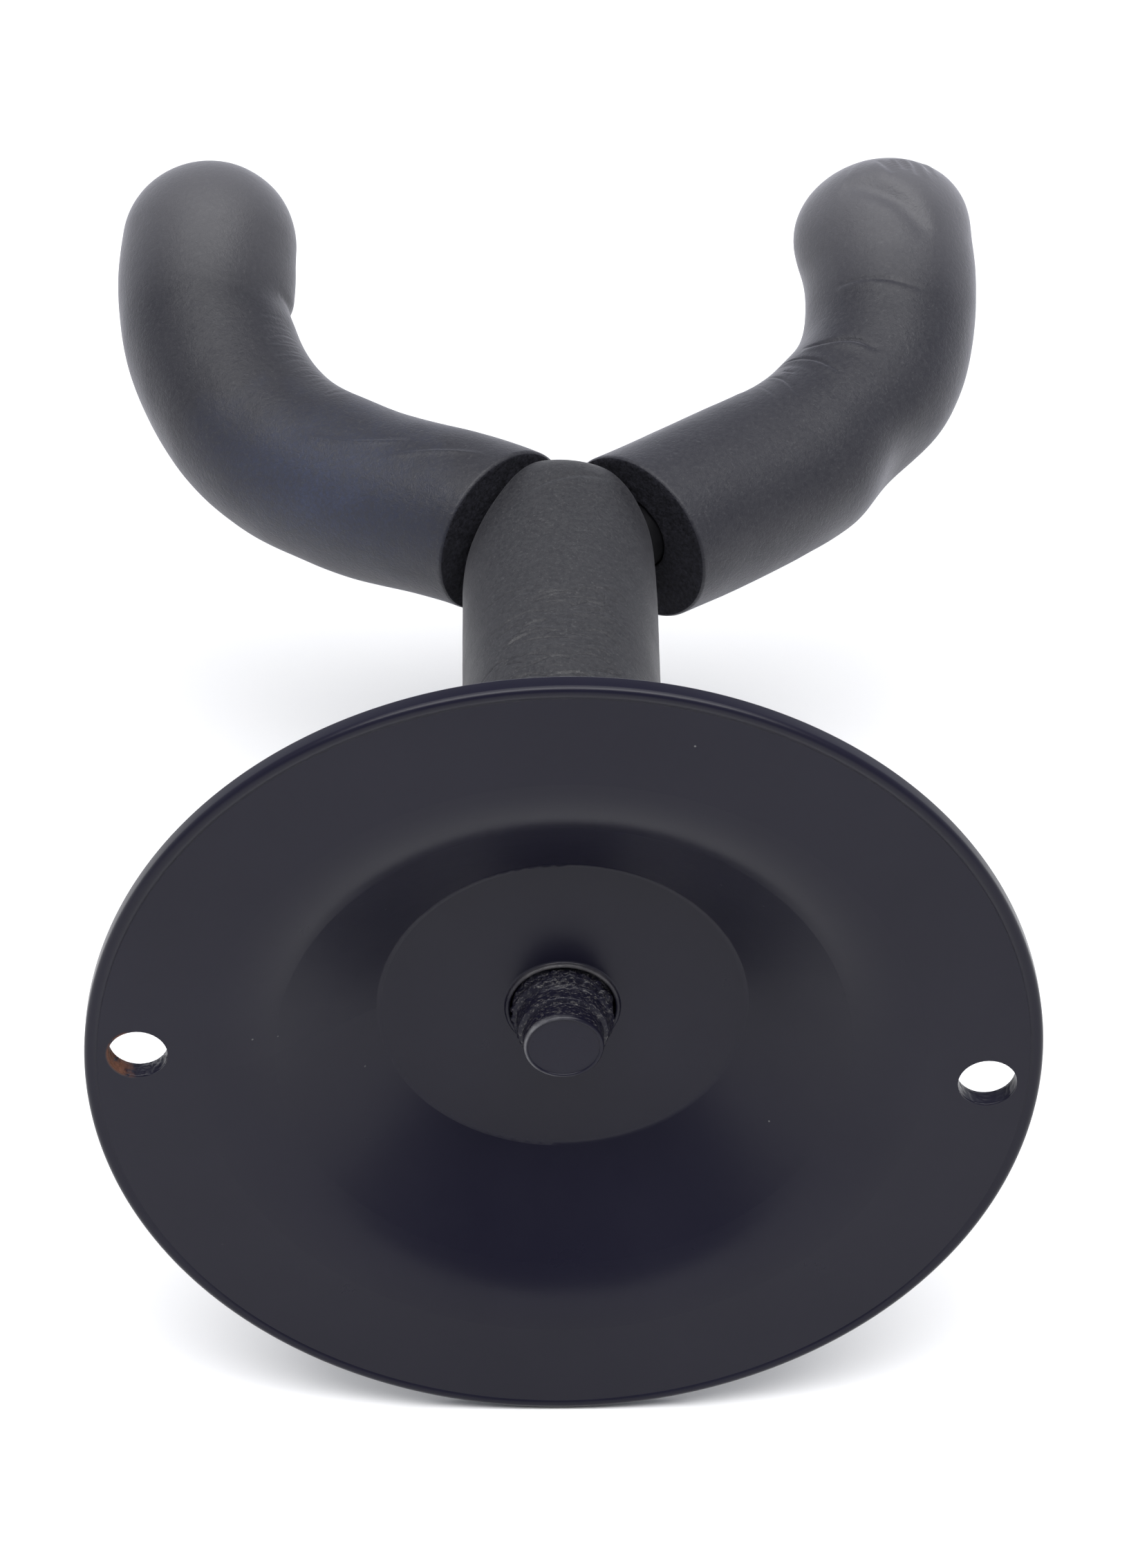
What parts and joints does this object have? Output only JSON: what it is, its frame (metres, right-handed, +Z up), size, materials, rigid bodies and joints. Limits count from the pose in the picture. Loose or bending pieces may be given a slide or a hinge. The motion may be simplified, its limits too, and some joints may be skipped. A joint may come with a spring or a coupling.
{
  "type": "wall guitar hanger",
  "caption": "Wall hanger for a guitar: a dished round steel plate and a neck that screws into it and turns, with a foam-covered forked yoke that has up-turned tips.",
  "frame": {"origin": "centre of the round plate on the face that lies against the wall, on the axis of the neck", "axes": "-Y away from the wall along the neck, +Z up, +X to the right for a person facing the wall"},
  "size_m": [0.0942, 0.1342, 0.09],
  "materials": {
    "plate_paint": "semi-gloss black paint",
    "stud_paint": "black paint, chipped on the thread",
    "rod_paint": "black paint",
    "weld_paint": "black paint over weld metal",
    "neck_foam": "smooth-skinned black foam",
    "prong_foam": "smooth-skinned black foam, matt where it is cut"
  },
  "bodies": {
    "plate": {"wall_plate": "plate_paint"},
    "arm": {"neck_rod": "stud_paint", "yoke_rod": "rod_paint", "weld_bead": "weld_paint", "neck_sleeve": "neck_foam", "right_sleeve": "prong_foam", "left_sleeve": "prong_foam"}
  },
  "joints": [
    {"name": "arm_turn", "type": "hinge", "parent": "plate", "child": "arm", "pos_m": [0, 0, 0], "axis": [0, 1, 0], "range_deg": [-90, 90]}
  ]
}
